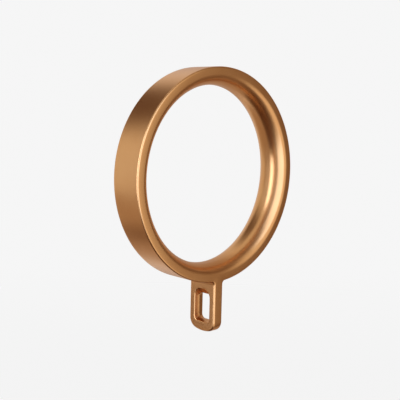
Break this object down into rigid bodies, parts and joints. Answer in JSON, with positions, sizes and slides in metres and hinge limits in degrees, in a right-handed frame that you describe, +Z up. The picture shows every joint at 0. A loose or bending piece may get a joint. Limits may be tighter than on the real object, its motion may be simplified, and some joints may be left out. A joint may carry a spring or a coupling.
{
  "type": "curtain ring",
  "caption": "Satin copper-gold curtain ring with a flat outer band, a rounded inside that rides on a pole, and a slotted eye tab for a curtain hook.",
  "frame": {"origin": "centre of the ring, on the pole's axis, midway between the two rims", "axes": "+Y along the pole, +Z up, with the eye tab hanging towards -Z and its slot running along X"},
  "size_m": [0.048, 0.008, 0.06],
  "materials": {
    "ring_metal": "satin copper-gold plating with a fine grain"
  },
  "bodies": {
    "root": {"curtain_ring": "ring_metal"}
  },
  "joints": []
}
